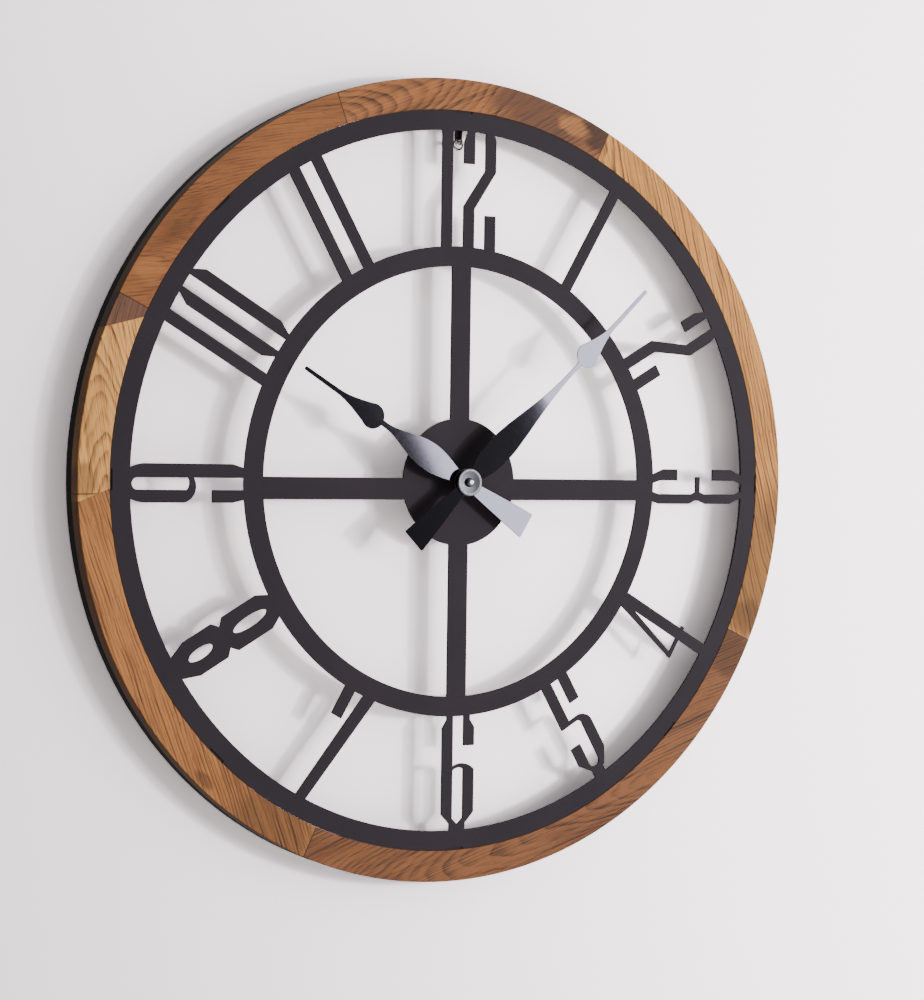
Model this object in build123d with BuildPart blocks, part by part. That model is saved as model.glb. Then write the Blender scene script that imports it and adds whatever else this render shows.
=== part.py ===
from build123d import *
import os
from math import atan2, cos, degrees, hypot, pi, radians, sin

# Skeleton wall clock: a wooden rim on a black ring, a cut steel dial and a battery movement.
# The origin is the point on the wall where the nail enters; +Z is up and the dial faces -Y.
# Heights are measured from the wall towards the viewer, angles clockwise from twelve.

# ---- Rim -----------------------------------------------------------------------------------
CLOCK_DIAMETER = 700.0
RIM_WIDTH = 27.4            # wood, across the grain of the ring
RIM_THICKNESS = 14.0
RIM_EDGE = 0.8              # rounding of the wood's front edges
REAR_RING_THICKNESS = 12.0
REAR_RING_QUARTERS = 4
REAR_RING_START = 60.0      # first butt joint, away from the glue lines and the tabs
PAD_THICKNESS = 2.0
PAD_DIAMETER = 18.0
RIM_JOINTS = [(25.5, 25.5), (114.9, 114.9), (204.8, 204.8), (268.7, 267.0),
              (294.0, 290.4), (295.4, 295.4), (339.4, 339.4)]  # inner end, outer end of each glue line
RIM_SCREW_COUNT = 8
RIM_SCREW_START = 12.0      # first screw's angle, clear of every glue line
RIM_SCREW_RADIUS = 1.75
RIM_SCREW_HEAD_RADIUS = 3.6
RIM_SCREW_BITE = 8.0        # how far a rim screw enters the wood
SCREW_CLEARANCE = 0.1

# ---- Dial: one 2 mm steel sheet, cut and painted ----------------------------------------------
SHEET = 2.0
DIAL_RECESS = 0.3           # dial front below the rim's front
RIM_GAP = 0.2               # shadow gap between the dial and the wood
OUTER_RING_WIDTH = 16.9
INNER_RING_RADIUS = 205.2
INNER_RING_WIDTH = 17.4
CENTRE_DISC_RADIUS = 55.5
SPOKE_WIDTH = 18.8
SPOKE_DROP = 6.2            # the level spokes lie below the dial's centre
WELD_GAP = 0.05             # between pieces that are welded edge to edge
TAB_COUNT = 8
TAB_WIDTH = 17.0
TAB_STEP = 1.0              # the bent tabs start this far below the dial's front
TAB_CLEARANCE = 0.1
TAB_SCREW_RADIUS = 1.5
TAB_SCREW_LENGTH = 11.0
TAB_SCREW_HEAD = (3.0, 1.8)  # radius, height

# ---- Numerals ----------------------------------------------------------------------------------
STROKE = 10.5
DIGIT_WIDTH = 32.0

# ---- Hanger ------------------------------------------------------------------------------------
HANGER_DROP = 10.9          # hanging ring's centre below the outer ring's inner edge
HANGING_RING_RADIUS = 4.35  # to the middle of the wire
HANGING_WIRE_RADIUS = 0.9
NAIL_RADIUS = 1.5
STRAP_WIDTH = 7.0
STRAP_THICKNESS = 1.5
STRAP_FOOT = 7.0            # spot-welded under the tab at twelve

# ---- Movement ----------------------------------------------------------------------------------
CASE_SIZE = 56.0
CASE_DEPTH = 16.0
CASE_WALL = 1.5
CASE_CORNER = 5.0
GASKET_THICKNESS = 1.0
COVER_THICKNESS = 1.5
FIT_GAP = 0.1               # around the rear cover and other loose pieces
BUSH_RADIUS = 4.0
BUSH_LENGTH = 6.0           # beyond the dial's front
BUSH_HOLE_CLEARANCE = 0.3
LOCK_WASHER = (7.0, 0.5)    # radius, thickness
HEX_NUT = (6.0, 3.0)        # half across flats, height
BATTERY_RADIUS = 7.15
BATTERY_LENGTH = 50.0
BATTERY_CLEARANCE = 0.35
BAY_WIDTH = 16.4
BAY_LENGTH = 52.4
BAY_WALL = 1.0
HOUR_PIPE_RADIUS = 2.5
MINUTE_SHAFT_RADIUS = 1.6
RUNNING_CLEARANCE = 0.05
ARBOR_RADIUS = 0.5
CLUTCH_RADIUS = 0.8         # post of the centre wheel that the minute arbor slips on when set
PIVOT_DEPTH = 0.7

# ---- Wheels: teeth and modules -------------------------------------------------------------------
MOTION_MODULE = 0.45
CANNON_TEETH, MINUTE_WHEEL_TEETH = 10, 30
MINUTE_PINION_TEETH, HOUR_WHEEL_TEETH = 8, 32
CENTRE_MODULE, CENTRE_TEETH, THIRD_PINION_TEETH = 0.25, 64, 8
THIRD_MODULE, THIRD_TEETH, FOURTH_PINION_TEETH = 0.22, 60, 8
FOURTH_MODULE, FOURTH_TEETH, FIFTH_PINION_TEETH = 0.2, 60, 10
FIFTH_MODULE, FIFTH_TEETH, ROTOR_PINION_TEETH = 0.2, 60, 12
MAGNET_RADIUS = 3.0

# ---- Hands ---------------------------------------------------------------------------------------
HAND_SHEET = 0.8
BOSS_RADIUS = 12.0
BOSS_THICKNESS = 2.0
HOUR_HAND_RISE = 10.2       # back of the hour hand above the dial's front
MINUTE_HAND_RISE = 16.4
HOUR_HAND_ANGLE = 301.4
MINUTE_HAND_ANGLE = 46.0
HOUR_HAND_LENGTH = 182.0
MINUTE_HAND_LENGTH = 251.0
TAIL_LENGTH = 72.0
TAIL_HALF_WIDTH = 11.8
BLADE_HALF_WIDTH = 12.4
BULB_RADIUS = 11.0
CAP_NUT_RADIUS = 3.8

# ---- Heights above the wall ----------------------------------------------------------------------
RIM_BACK = PAD_THICKNESS + REAR_RING_THICKNESS
RIM_FRONT = RIM_BACK + RIM_THICKNESS
DIAL_FRONT = RIM_FRONT - DIAL_RECESS
DIAL_BACK = DIAL_FRONT - SHEET
CASE_FRONT = DIAL_BACK - GASKET_THICKNESS
CASE_BACK = CASE_FRONT - CASE_DEPTH
COVER_FRONT = CASE_BACK + COVER_THICKNESS
CASE_CEILING = CASE_FRONT - CASE_WALL
BUSH_TOP = DIAL_FRONT + BUSH_LENGTH
HOUR_HAND_BACK = DIAL_FRONT + HOUR_HAND_RISE
MINUTE_HAND_BACK = DIAL_FRONT + MINUTE_HAND_RISE
REAR_RING_MIDDLE = PAD_THICKNESS + REAR_RING_THICKNESS / 2

# ---- Radii from the dial's centre ------------------------------------------------------------------
RIM_RADIUS = CLOCK_DIAMETER / 2
RIM_INNER = RIM_RADIUS - RIM_WIDTH
DIAL_RADIUS = RIM_INNER - RIM_GAP
OUTER_RING_INNER = DIAL_RADIUS - OUTER_RING_WIDTH
INNER_RING_INNER = INNER_RING_RADIUS - INNER_RING_WIDTH
REAR_RING_INNER = DIAL_RADIUS + TAB_CLEARANCE
REAR_RING_CENTRE = (REAR_RING_INNER + RIM_RADIUS) / 2
RING_HEIGHT = OUTER_RING_INNER - HANGER_DROP
NAIL_HEIGHT = RING_HEIGHT + HANGING_RING_RADIUS - HANGING_WIRE_RADIUS - NAIL_RADIUS

os.makedirs("parts", exist_ok=True)


def face(height, turn=0.0):
    """The plane `height` above the wall, centred on the dial, x turned clockwise by `turn`."""
    angle = radians(turn)
    return Plane(origin=(0, -height, -NAIL_HEIGHT), x_dir=(cos(angle), 0, -sin(angle)), z_dir=(0, -1, 0))


def inwards(turn, height, radius):
    """A plane square to the dial's radius at `turn`: its normal points away from the dial's centre."""
    angle = radians(turn)
    outward = (sin(angle), 0, cos(angle))
    origin = (radius * outward[0], -height, radius * outward[2] - NAIL_HEIGHT)
    return Plane(origin=origin, x_dir=(cos(angle), 0, -sin(angle)), z_dir=outward)


def clock_point(turn, radius):
    """A point of a face plane at a clockwise angle from twelve."""
    return radius * sin(radians(turn)), radius * cos(radians(turn))


def beyond(start, end, distance):
    """The point on the line from start to end that lies `distance` past end."""
    length = hypot(end[0] - start[0], end[1] - start[1])
    return tuple(e + (e - s) / length * distance for s, e in zip(start, end))


def save(piece, name):
    piece.part.label = name
    export_step(piece.part, f"parts/{name}.step")


# =================================== Rim ==========================================================
REACH = RIM_WIDTH  # how far the cutting wedges run past the rim on either side

for number, (start, end) in enumerate(zip(RIM_JOINTS, RIM_JOINTS[1:] + RIM_JOINTS[:1]), 1):
    start_inner, start_outer = clock_point(start[0], RIM_INNER), clock_point(start[1], RIM_RADIUS)
    end_inner, end_outer = clock_point(end[0], RIM_INNER), clock_point(end[1], RIM_RADIUS)
    span = (end[1] - start[1]) % 360
    middle = clock_point(start[1] + span / 2, RIM_RADIUS * 1.6)
    wedge = [beyond(start_outer, start_inner, REACH), beyond(start_inner, start_outer, REACH), middle,
             beyond(end_inner, end_outer, REACH), beyond(end_outer, end_inner, REACH)]
    with BuildPart() as rim_segment:
        with BuildSketch(face(RIM_BACK)):
            Circle(RIM_RADIUS)
            Circle(RIM_INNER, mode=Mode.SUBTRACT)
        extrude(amount=RIM_THICKNESS)
        fillet(rim_segment.faces().sort_by(Axis.Y)[0].edges(), RIM_EDGE)
        with BuildSketch(face(RIM_BACK)):
            Polygon(*wedge, align=None)
        extrude(amount=RIM_THICKNESS, mode=Mode.INTERSECT)
        with BuildSketch(face(RIM_BACK)):
            with PolarLocations(REAR_RING_CENTRE, RIM_SCREW_COUNT, 90 - RIM_SCREW_START):
                Circle(RIM_SCREW_RADIUS + SCREW_CLEARANCE)
        extrude(amount=RIM_SCREW_BITE + SCREW_CLEARANCE, mode=Mode.SUBTRACT)
    save(rim_segment, f"rim_segment_{number}")

for quarter in range(REAR_RING_QUARTERS):
    span = 360 / REAR_RING_QUARTERS
    start = REAR_RING_START + quarter * span
    with BuildPart() as rear_quarter:
        with BuildSketch(face(PAD_THICKNESS)):
            Circle(RIM_RADIUS)
            Circle(REAR_RING_INNER, mode=Mode.SUBTRACT)
            Polygon((0, 0), *(clock_point(start + turn, CLOCK_DIAMETER) for turn in (0, span / 2, span)),
                    align=None, mode=Mode.INTERSECT)
        extrude(amount=REAR_RING_THICKNESS)
        with Locations(face(PAD_THICKNESS) * Rot(0, 180, 0)):
            with PolarLocations(REAR_RING_CENTRE, RIM_SCREW_COUNT, 90 + RIM_SCREW_START):
                CounterSinkHole(RIM_SCREW_RADIUS + SCREW_CLEARANCE, RIM_SCREW_HEAD_RADIUS + SCREW_CLEARANCE,
                                REAR_RING_THICKNESS, 90)
        for tab in range(TAB_COUNT):
            with BuildSketch(inwards(tab * 360 / TAB_COUNT, REAR_RING_MIDDLE, REAR_RING_INNER - RIM_GAP)):
                Circle(TAB_SCREW_RADIUS + RUNNING_CLEARANCE)
            extrude(amount=RIM_GAP + TAB_SCREW_LENGTH, mode=Mode.SUBTRACT)
    save(rear_quarter, f"rear_ring_{quarter + 1}")

with BuildPart() as rim_screws:
    with BuildSketch(face(PAD_THICKNESS)):
        with PolarLocations(REAR_RING_CENTRE, RIM_SCREW_COUNT, 90 - RIM_SCREW_START):
            Circle(RIM_SCREW_RADIUS)
    extrude(amount=REAR_RING_THICKNESS + RIM_SCREW_BITE)
    with BuildSketch(face(PAD_THICKNESS)):
        with PolarLocations(REAR_RING_CENTRE, RIM_SCREW_COUNT, 90 - RIM_SCREW_START):
            Circle(RIM_SCREW_HEAD_RADIUS)
    extrude(amount=RIM_SCREW_HEAD_RADIUS - RIM_SCREW_RADIUS, taper=45)
save(rim_screws, "rim_screws")

with BuildPart() as wall_pads:
    with BuildSketch(face(0)):
        with PolarLocations(REAR_RING_CENTRE, TAB_COUNT, 180 / TAB_COUNT + 90):
            Circle(PAD_DIAMETER / 2)
    extrude(amount=PAD_THICKNESS)
save(wall_pads, "wall_pads")

# =================================== Dial =========================================================
TAB_ROOT = DIAL_RADIUS - SHEET
TAB_END = PAD_THICKNESS + 2.0


def tab_strips(inner, outer):
    """Adds the outlines of all tabs between two radii to the open sketch."""
    with PolarLocations((inner + outer) / 2, TAB_COUNT):
        Rectangle(outer - inner, TAB_WIDTH)


with BuildPart() as dial_outer_ring:
    with BuildSketch(face(DIAL_BACK)):
        Circle(DIAL_RADIUS)
        Circle(OUTER_RING_INNER, mode=Mode.SUBTRACT)
    extrude(amount=SHEET)
    with BuildSketch(face(DIAL_FRONT)):
        tab_strips(TAB_ROOT, RIM_INNER)
    extrude(amount=-TAB_STEP, mode=Mode.SUBTRACT)
    with BuildSketch(face(TAB_END)):
        tab_strips(TAB_ROOT, RIM_INNER)
        Circle(DIAL_RADIUS, mode=Mode.INTERSECT)
    extrude(amount=DIAL_BACK - TAB_END)
    for tab in range(TAB_COUNT):
        with BuildSketch(inwards(tab * 360 / TAB_COUNT, REAR_RING_MIDDLE, TAB_ROOT - SHEET)):
            Circle(TAB_SCREW_RADIUS + SCREW_CLEARANCE)
        extrude(amount=3 * SHEET, mode=Mode.SUBTRACT)
save(dial_outer_ring, "dial_outer_ring")

with BuildPart() as tab_screws:
    for tab in range(TAB_COUNT):
        with BuildSketch(inwards(tab * 360 / TAB_COUNT, REAR_RING_MIDDLE, TAB_ROOT)):
            Circle(TAB_SCREW_RADIUS)
        extrude(amount=TAB_SCREW_LENGTH)
        with BuildSketch(inwards(tab * 360 / TAB_COUNT, REAR_RING_MIDDLE, TAB_ROOT)):
            Circle(TAB_SCREW_HEAD[0])
        extrude(amount=-TAB_SCREW_HEAD[1], taper=15)
save(tab_screws, "tab_screws")

with BuildPart() as dial_inner_ring:
    with BuildSketch(face(DIAL_BACK)):
        Circle(INNER_RING_RADIUS)
        Circle(INNER_RING_INNER, mode=Mode.SUBTRACT)
    extrude(amount=SHEET)
save(dial_inner_ring, "dial_inner_ring")

with BuildPart() as dial_cross:
    with BuildSketch(face(DIAL_BACK)):
        Rectangle(SPOKE_WIDTH, 2 * INNER_RING_INNER)
        with Locations((0, -SPOKE_DROP)):
            Rectangle(2 * INNER_RING_INNER, SPOKE_WIDTH)
        Circle(CENTRE_DISC_RADIUS)
        Circle(INNER_RING_INNER - WELD_GAP, mode=Mode.INTERSECT)
        Circle(BUSH_RADIUS + BUSH_HOLE_CLEARANCE, mode=Mode.SUBTRACT)
    extrude(amount=SHEET)
save(dial_cross, "dial_cross")

# =================================== Numerals =====================================================
# A digit is drawn upright: x in millimetres from its middle, y as a share of the ring-to-ring
# height. Strokes run past both ends and are cut off by the rings.
HALF = DIGIT_WIDTH / 2
BELOW, ABOVE = -0.05, 1.03
SHORT = 0.28                # length of the short strokes
CUT = 0.10                  # height of the cut corners
EIGHT_COUNTER = 9.8         # width of the eight's two oval counters


def bar(left, right, low=BELOW, high=ABOVE):
    return [(left, low), (right, low), (right, high), (left, high)]


ONE = [bar(-STROKE / 2, STROKE / 2)]
TWO = [
    [(HALF - STROKE, ABOVE), (HALF - STROKE, 0.67), (-HALF, 0.35), (-HALF, BELOW), (STROKE - HALF, BELOW),
     (STROKE - HALF, 0.33), (HALF, 0.66), (HALF, 0.93), (HALF - 3, ABOVE)],
    [(-HALF, 1 - SHORT), (STROKE - HALF, 1 - SHORT), (STROKE - HALF, ABOVE), (5 - HALF, ABOVE), (-HALF, 1 - CUT)],
    bar(HALF - STROKE, HALF, high=SHORT),
]
THREE = [
    [(HALF - 12.5, ABOVE), (HALF - 9, 0.93), (HALF - 9, 0.57), (HALF - 11, 0.525), (7 - HALF, 0.525),
     (7 - HALF, 0.48), (HALF - 11, 0.48), (HALF - 9, 0.44), (HALF - 9, 0.065), (HALF - 12.5, BELOW),
     (HALF - 4, BELOW), (HALF, 0.07), (HALF, 0.40), (HALF - 3, 0.475), (HALF - 3, 0.52), (HALF, 0.59),
     (HALF, 0.87), (HALF - 7, ABOVE)],
    [(-HALF, 0.67), (STROKE - HALF, 0.67), (STROKE - HALF, 0.93), (STROKE - HALF + 4, ABOVE),
     (7 - HALF, ABOVE), (-HALF, 0.88)],
    [(-HALF, 0.27), (STROKE - HALF, 0.27), (STROKE - HALF, 0.075), (STROKE - HALF + 4, BELOW),
     (7 - HALF, BELOW), (-HALF, 0.12)],
]
FOUR = [
    bar(HALF - 13, HALF - 13 + STROKE),
    bar(-HALF, HALF, 0.28, 0.315),
    [(-HALF, 0.285), (4 - HALF, 0.285), (HALF - 12, 0.9), (HALF - 12, ABOVE), (HALF - 15.5, ABOVE)],
]
FIVE = [
    bar(-HALF, STROKE - HALF, low=0.565),
    bar(HALF - 2 - STROKE, HALF - 2, low=0.74),
]
SIX = [[(HALF - STROKE, 0.74), (HALF, 0.74), (HALF, 1 - CUT), (HALF - 4.5, 0.97), (HALF - 4.5, ABOVE),
        (HALF - STROKE, ABOVE)]]
SEVEN = [
    [(4.5 - HALF, BELOW), (14.5 - HALF, BELOW), (HALF, ABOVE), (HALF - 12, ABOVE)],
    bar(-HALF, STROKE - HALF, low=0.74),
]
EIGHT = [[(HALF - 8, BELOW), (HALF, 0.155), (HALF, 0.44), (HALF - 6, 0.495), (HALF, 0.55), (HALF, 0.9),
          (HALF - 7, ABOVE), (7 - HALF, ABOVE), (-HALF, 0.9), (-HALF, 0.55), (6 - HALF, 0.495),
          (-HALF, 0.44), (-HALF, 0.155), (8 - HALF, BELOW)]]
NINE = [[(-HALF, CUT), (3.5 - HALF, BELOW), (STROKE - HALF, BELOW), (STROKE - HALF, SHORT), (-HALF, SHORT)]]
ZERO_BAR = [(-HALF - 1, 0.11), (-9, BELOW), (-6, BELOW), (-6, ABOVE), (-9, ABOVE), (-HALF - 1, 0.89)]
ZERO = [ZERO_BAR, [(-x, y) for x, y in ZERO_BAR]]

# hour: the strokes with their sideways places, and whether the tops point away from the centre
NUMERALS = {
    1: ([(ONE, 6.2)], True), 2: ([(TWO, 3.5)], True), 3: ([(THREE, 2.5)], True),
    4: ([(FOUR, -10.2)], False), 5: ([(FIVE, -0.3)], False), 6: ([(SIX, 2.5)], False),
    7: ([(SEVEN, 9.0)], False), 8: ([(EIGHT, 2.2)], False), 9: ([(NINE, -2.7)], True),
    10: ([(ONE, -21.2), (ZERO, 12.0)], True), 11: ([(ONE, -10.5), (ONE, 12.7)], True),
    12: ([(ONE, -15.3), (TWO, 17.3)], True),
}
NUMERAL_LOW = INNER_RING_RADIUS + WELD_GAP
NUMERAL_HIGH = OUTER_RING_INNER - WELD_GAP
NUMERAL_HEIGHT = NUMERAL_HIGH - NUMERAL_LOW


def placed(points, shift, outward):
    """Digit points as points of the dial plane turned to the numeral's hour."""
    if outward:
        return [(x + shift, NUMERAL_LOW + y * NUMERAL_HEIGHT) for x, y in points]
    return [(-x - shift, NUMERAL_HIGH - y * NUMERAL_HEIGHT) for x, y in points]


def closed_face(start, *pieces, mode=Mode.ADD):
    """Adds a face to the open sketch. A piece is a list of corners, or a (through, end) arc."""
    with BuildLine() as outline:
        here = start
        for piece in pieces:
            if isinstance(piece, list):
                Polyline(here, *piece)
                here = piece[-1]
            else:
                ThreePointArc(here, *piece)
                here = piece[1]
        Line(here, start)
    make_face(outline.edges(), mode=mode)


def draw_five_bowl(shift, outward):
    at = lambda x, y: placed([(x, y)], shift, outward)[0]
    closed_face(
        at(-HALF, 0.6), [at(HALF - 12, 0.6)], (at(HALF - 3.6, 0.57), at(HALF, 0.49)),
        [at(HALF, 0.21), at(8.5, 0.07), at(6.5, 0.06), at(6.5, BELOW), at(-6, BELOW), at(-6, 0.065),
         at(-HALF, 0.18), at(-HALF, 0.36), at(STROKE - HALF, 0.36), at(STROKE - HALF, 0.15)],
        (at(0, 0.095), at(HALF - STROKE, 0.15)), [at(HALF - STROKE, 0.5)],
        (at(HALF - STROKE - 0.7, 0.545), at(HALF - STROKE - 4, 0.565)), [at(-HALF, 0.565)])


def draw_six_bowl(shift, outward):
    at = lambda x, y: placed([(x, y)], shift, outward)[0]
    closed_face(
        at(4.5 - HALF, ABOVE), [at(4.5 - HALF, 0.97), at(-HALF, 1 - CUT), at(-HALF, 0.145), at(-8, 0.06),
                                at(-8, BELOW), at(7.5, BELOW), at(7.5, 0.06), at(HALF, 0.155), at(HALF, 0.53)],
        (at(4.5, 0.585), at(STROKE - HALF, 0.555)), [at(STROKE - HALF, ABOVE)])
    closed_face(
        at(STROKE - HALF, 0.105), [at(0, 0.05), at(HALF - STROKE, 0.105), at(HALF - STROKE, 0.535)],
        (at(0.5, 0.55), at(STROKE - HALF, 0.525)), mode=Mode.SUBTRACT)


def draw_nine_bowl(shift, outward):
    at = lambda x, y: placed([(x, y)], shift, outward)[0]
    closed_face(
        at(HALF - 4.5, BELOW), [at(HALF, CUT), at(HALF, 0.88)], (at(HALF - 1.4, 0.95), at(HALF - 5, ABOVE)),
        [at(5 - HALF, ABOVE)], (at(1.4 - HALF, 0.95), at(-HALF, 0.88)), [at(-HALF, 0.53)],
        (at(9.5 - HALF, 0.43), at(HALF - STROKE - 1, 0.445)), [at(HALF - STROKE - 1, BELOW)])
    closed_face(
        at(STROKE - HALF, 0.5), (at(-0.5, 0.48), at(HALF - STROKE - 1, 0.49)), [at(HALF - STROKE - 1, 0.94)],
        (at(-0.5, 0.985), at(STROKE - HALF, 0.94)), mode=Mode.SUBTRACT)


def cut_eight_counters(shift, outward):
    for low, high in ((0.125, 0.37), (0.58, 0.925)):
        middle = placed([(0, (low + high) / 2)], shift, outward)[0]
        with Locations(middle):
            Ellipse((high - low) * NUMERAL_HEIGHT / 2, EIGHT_COUNTER / 2, rotation=90, mode=Mode.SUBTRACT)


BOWLS = {5: draw_five_bowl, 6: draw_six_bowl, 8: cut_eight_counters, 9: draw_nine_bowl}

for hour, (digits, outward) in NUMERALS.items():
    with BuildPart() as numeral:
        with BuildSketch(face(DIAL_BACK, hour * 30)):
            for digit, shift in digits:
                for outline in digit:
                    Polygon(*placed(outline, shift, outward), align=None)
                if hour in BOWLS:
                    BOWLS[hour](shift, outward)
            Circle(NUMERAL_HIGH, mode=Mode.INTERSECT)
            Circle(NUMERAL_LOW, mode=Mode.SUBTRACT)
        extrude(amount=SHEET)
    save(numeral, f"numeral_{hour}")

# =================================== Hanger =======================================================
RING_LEVEL = DIAL_BACK - 7.7
RING_CENTRE = RING_HEIGHT - NAIL_HEIGHT
STRAP_TOP = TAB_ROOT - NAIL_HEIGHT
STRAP_PLANE = Plane(origin=(0, -RING_LEVEL, RING_CENTRE), x_dir=(1, 0, 0), z_dir=(0, -1, 0))

with BuildPart() as hanger_strap:
    with BuildSketch(STRAP_PLANE):
        with Locations((0, (STRAP_TOP - RING_CENTRE) / 2)):
            Rectangle(STRAP_WIDTH, STRAP_TOP - RING_CENTRE)
        Circle(HANGING_RING_RADIUS + HANGING_WIRE_RADIUS, mode=Mode.SUBTRACT)
    extrude(amount=STRAP_THICKNESS / 2, both=True)
    with BuildSketch(Plane(origin=(0, -RING_LEVEL, STRAP_TOP), x_dir=(1, 0, 0), z_dir=(0, 0, -1))):
        with Locations((0, (STRAP_THICKNESS - STRAP_FOOT) / 2)):
            Rectangle(STRAP_WIDTH, STRAP_FOOT)
    extrude(amount=STRAP_THICKNESS)
save(hanger_strap, "hanger_strap")

with BuildPart() as hanging_ring:
    with BuildSketch(Plane.XY.offset(RING_CENTRE)):
        with Locations((HANGING_RING_RADIUS, -RING_LEVEL)):
            Circle(HANGING_WIRE_RADIUS)
    revolve(axis=Axis((0, -RING_LEVEL, RING_CENTRE), (0, 1, 0)))
save(hanging_ring, "hanging_ring")

# =================================== Movement =====================================================
CAVITY = CASE_SIZE / 2 - CASE_WALL
BAY_LOW = -CASE_SIZE / 2 + CASE_WALL
BAY_HIGH = BAY_LOW + BAY_WIDTH
BAY_MIDDLE = (BAY_LOW + BAY_HIGH) / 2
BAY_CEILING = CASE_CEILING + 0.4
BATTERY_LEVEL = BAY_CEILING - BATTERY_CLEARANCE - BATTERY_RADIUS
TRAIN_LOW = BAY_HIGH + BAY_WALL
TRAIN_MIDDLE = (TRAIN_LOW + CAVITY) / 2
PIVOT_BACK = COVER_FRONT - PIVOT_DEPTH
PIVOT_FRONT = CASE_CEILING + PIVOT_DEPTH


def mesh_distance(module, teeth, other_teeth):
    return module * (teeth + other_teeth) / 2


def polar(centre, angle, distance):
    """A point at an anticlockwise angle from +X, seen from the front."""
    return centre[0] + distance * cos(radians(angle)), centre[1] + distance * sin(radians(angle))


CENTRE = (0.0, 0.0)
MINUTE_WHEEL_AT, KNOB_AT, THIRD_AT, FOURTH_AT, FIFTH_AT, ROTOR_AT = 135, 165, 60, 0, 80, 100
MINUTE_WHEEL = polar(CENTRE, MINUTE_WHEEL_AT, mesh_distance(MOTION_MODULE, CANNON_TEETH, MINUTE_WHEEL_TEETH))
KNOB = polar(MINUTE_WHEEL, KNOB_AT, mesh_distance(MOTION_MODULE, CANNON_TEETH, MINUTE_WHEEL_TEETH))
THIRD = polar(CENTRE, THIRD_AT, mesh_distance(CENTRE_MODULE, CENTRE_TEETH, THIRD_PINION_TEETH))
FOURTH = polar(THIRD, FOURTH_AT, mesh_distance(THIRD_MODULE, THIRD_TEETH, FOURTH_PINION_TEETH))
FIFTH = polar(FOURTH, FIFTH_AT, mesh_distance(FOURTH_MODULE, FOURTH_TEETH, FIFTH_PINION_TEETH))
ROTOR = polar(FIFTH, ROTOR_AT, mesh_distance(FIFTH_MODULE, FIFTH_TEETH, ROTOR_PINION_TEETH))
LOOSE_ARBORS = [MINUTE_WHEEL, THIRD, FOURTH, FIFTH, ROTOR]
KNOB_SHAFT_RADIUS = 1.2

# Levels of the wheels: back and front of each, above the wall
HOUR_LEVEL = (CASE_CEILING - 2.0, CASE_CEILING - 0.5)
MINUTE_PINION_LEVEL = (CASE_CEILING - 2.3, CASE_CEILING - 0.3)
MINUTE_LEVEL = (CASE_CEILING - 4.3, CASE_CEILING - 2.8)
CANNON_LEVEL = (CASE_CEILING - 4.7, CASE_CEILING - 2.4)
CENTRE_LEVEL = (CASE_CEILING - 6.8, CASE_CEILING - 5.6)
THIRD_PINION_LEVEL = (CASE_CEILING - 7.2, CASE_CEILING - 5.2)
THIRD_LEVEL = (CASE_CEILING - 9.3, CASE_CEILING - 8.3)
FOURTH_PINION_LEVEL = (CASE_CEILING - 9.7, CASE_CEILING - 7.9)
FOURTH_LEVEL = (CASE_CEILING - 11.6, CASE_CEILING - 10.6)
FIFTH_PINION_LEVEL = (CASE_CEILING - 12.0, CASE_CEILING - 10.2)
FIFTH_LEVEL = (CASE_CEILING - 7.6, CASE_CEILING - 6.8)
ROTOR_PINION_LEVEL = (CASE_CEILING - 8.0, CASE_CEILING - 6.4)
MAGNET_LEVEL = (CASE_CEILING - 11.2, CASE_CEILING - 8.8)
STATOR_LEVEL = (CASE_CEILING - 10.8, CASE_CEILING - 9.6)
CORE_LEVEL = (STATOR_LEVEL[1], STATOR_LEVEL[1] + 1.2)


def rounded_square(size, corner):
    RectangleRounded(size, size, corner)


with BuildPart() as front_case:
    with BuildSketch(face(CASE_BACK)):
        rounded_square(CASE_SIZE, CASE_CORNER)
    extrude(amount=CASE_DEPTH)
    with BuildSketch(face(CASE_BACK)):
        with Locations((0, TRAIN_MIDDLE)):
            RectangleRounded(2 * CAVITY, CAVITY - TRAIN_LOW, CASE_CORNER - CASE_WALL)
    extrude(amount=CASE_DEPTH - CASE_WALL, mode=Mode.SUBTRACT)
    with BuildSketch(face(CASE_BACK)):
        with Locations((0, BAY_MIDDLE)):
            RectangleRounded(BAY_LENGTH, BAY_WIDTH, 2)
    extrude(amount=BAY_CEILING - CASE_BACK, mode=Mode.SUBTRACT)
    with BuildSketch(face(CASE_FRONT)):
        Circle(BUSH_RADIUS)
    extrude(amount=BUSH_TOP - CASE_FRONT)
    with BuildSketch(face(CASE_CEILING)):
        Circle(HOUR_PIPE_RADIUS + RUNNING_CLEARANCE)
    extrude(amount=BUSH_TOP - CASE_CEILING, mode=Mode.SUBTRACT)
    with BuildSketch(face(CASE_CEILING)):
        with Locations(*LOOSE_ARBORS, KNOB):
            Circle(ARBOR_RADIUS + RUNNING_CLEARANCE)
    extrude(amount=PIVOT_DEPTH + FIT_GAP, mode=Mode.SUBTRACT)
save(front_case, "front_case")

with BuildPart() as rear_cover:
    with BuildSketch(face(CASE_BACK)):
        with Locations((0, TRAIN_MIDDLE)):
            RectangleRounded(2 * (CAVITY - FIT_GAP), CAVITY - TRAIN_LOW - 2 * FIT_GAP,
                             CASE_CORNER - CASE_WALL - FIT_GAP)
        with Locations(KNOB):
            Circle(KNOB_SHAFT_RADIUS + RUNNING_CLEARANCE, mode=Mode.SUBTRACT)
    extrude(amount=COVER_THICKNESS)
    with BuildSketch(face(COVER_FRONT)):
        with Locations(CENTRE, *LOOSE_ARBORS):
            Circle(ARBOR_RADIUS + RUNNING_CLEARANCE)
    extrude(amount=-PIVOT_DEPTH - FIT_GAP, mode=Mode.SUBTRACT)
save(rear_cover, "rear_cover")

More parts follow.
